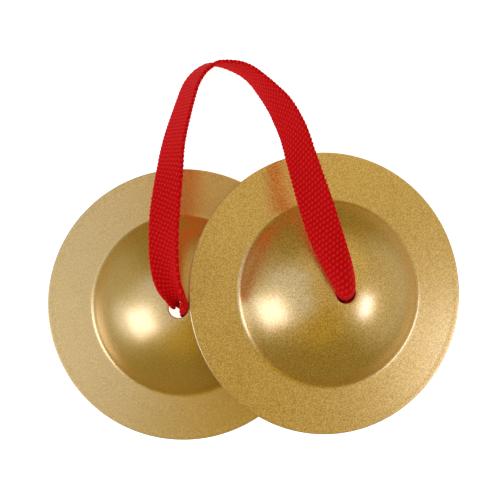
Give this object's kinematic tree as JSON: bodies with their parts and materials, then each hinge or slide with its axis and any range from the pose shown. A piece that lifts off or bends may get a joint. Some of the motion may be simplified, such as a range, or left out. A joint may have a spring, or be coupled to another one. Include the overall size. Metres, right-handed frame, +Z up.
{
  "type": "finger cymbals",
  "caption": "Pair of small pressed-metal finger cymbals with domed centres and flat flanges, joined by a flat woven strap knotted inside the bells.",
  "frame": {"origin": "on the resting plane, under the middle of the box that holds the two cymbals", "axes": "+Z up from the resting plane; +X from the rear cymbal towards the front one; +Y towards the strap's arch"},
  "size_m": [0.1366, 0.1259, 0.0337],
  "materials": {
    "gold_lacquer": "satin gold lacquer with a fine metallic grain",
    "red_webbing": "matt plain-woven webbing"
  },
  "bodies": {
    "rear_cymbal": {"rear_cymbal": "gold_lacquer"},
    "rear_knot": {"rear_knot": "red_webbing", "rear_tail": "red_webbing"},
    "rear_strap": {"strap_rear_half": "red_webbing"},
    "front_strap": {"strap_front_half": "red_webbing"},
    "front_knot": {"front_knot": "red_webbing", "front_tail": "red_webbing"},
    "front_cymbal": {"front_cymbal": "gold_lacquer"}
  },
  "joints": [
    {"name": "rear_spin", "type": "hinge", "parent": "rear_cymbal", "child": "rear_knot", "pos_m": [-0.02331, -0.00225, 0.0175], "axis": [0, 0, 1], "continuous": true},
    {"name": "rear_rock", "type": "hinge", "parent": "rear_knot", "child": "rear_strap", "pos_m": [-0.02331, -0.00225, 0.0175], "axis": [0, -1, 0], "range_deg": [0, 12]},
    {"name": "strap_bend", "type": "hinge", "parent": "rear_strap", "child": "front_strap", "pos_m": [-0.0122, 0.076, 0.0059], "axis": [0, 0, 1], "range_deg": [0, 50]},
    {"name": "front_rock", "type": "hinge", "parent": "front_strap", "child": "front_knot", "pos_m": [0.02743, 0.00292, 0.02645], "axis": [-0.9805, -0.0001, 0.1965], "range_deg": [0, 8]},
    {"name": "front_spin", "type": "hinge", "parent": "front_knot", "child": "front_cymbal", "pos_m": [0.02743, 0.00292, 0.02645], "axis": [0.1964, 0.0382, 0.9798], "continuous": true}
  ]
}
